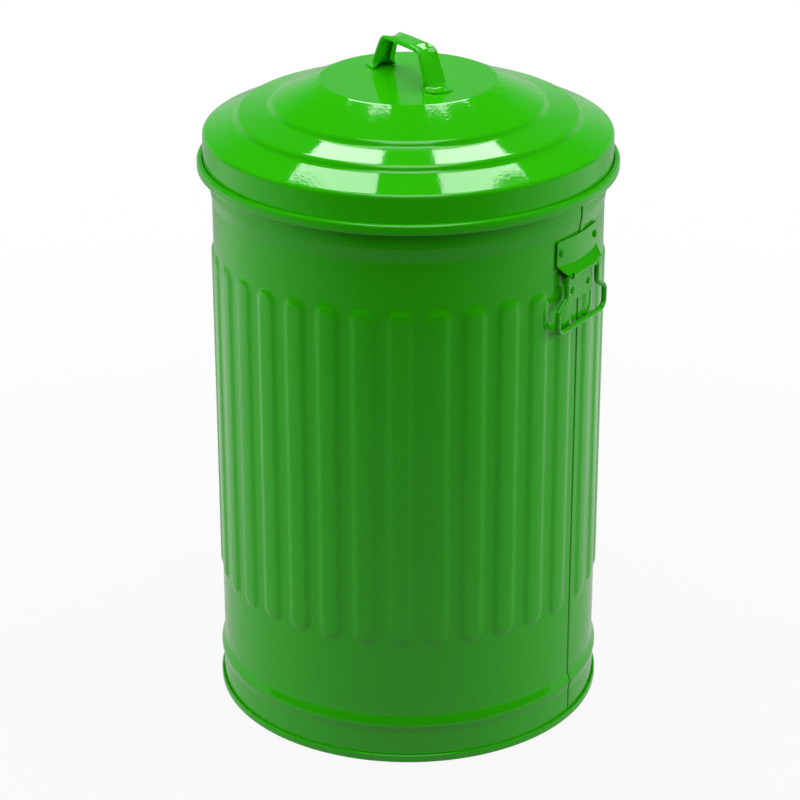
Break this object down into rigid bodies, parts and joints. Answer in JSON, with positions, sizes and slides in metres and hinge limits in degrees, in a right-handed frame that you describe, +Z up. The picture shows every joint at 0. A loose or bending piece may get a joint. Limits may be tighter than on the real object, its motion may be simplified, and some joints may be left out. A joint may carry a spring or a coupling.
{
  "type": "trash can",
  "caption": "Round ribbed steel trash can with a loose stepped lid, a strap handle on the lid and a hanging wire bail in a riveted bracket on each side.",
  "frame": {"origin": "middle of the footprint, on the ground", "axes": "+Z up along the can's axis; the side handles and the wall's seam lie on the X axis, with the seam at +X"},
  "size_m": [0.3896, 0.3896, 0.6484],
  "materials": {
    "paint": "gloss",
    "bare_wire": "satin"
  },
  "bodies": {
    "can": {"can_wall": "paint", "base_plate": "paint", "rim_wire": "bare_wire", "right_handle_bracket": "paint", "left_handle_bracket": "paint", "right_bracket_rivet_1": "paint", "right_bracket_rivet_2": "paint", "right_bracket_rivet_3": "paint", "right_bracket_rivet_4": "paint", "left_bracket_rivet_1": "paint", "left_bracket_rivet_2": "paint", "left_bracket_rivet_3": "paint", "left_bracket_rivet_4": "paint"},
    "right_bail": {"right_bail_handle": "paint"},
    "left_bail": {"left_bail_handle": "paint"},
    "lid": {"lid_shell": "paint", "lid_handle": "paint"}
  },
  "joints": [
    {"name": "right_bail_swing", "type": "hinge", "parent": "can", "child": "right_bail", "pos_m": [0.1865, 0, 0.4662], "axis": [0, -1, 0], "range_deg": [0, 68]},
    {"name": "left_bail_swing", "type": "hinge", "parent": "can", "child": "left_bail", "pos_m": [-0.1865, 0, 0.4662], "axis": [0, 1, 0], "range_deg": [0, 68]},
    {"name": "lid_lift", "type": "slide", "parent": "can", "child": "lid", "axis": [0, 0, 1], "range_m": [0, 0.3]}
  ]
}
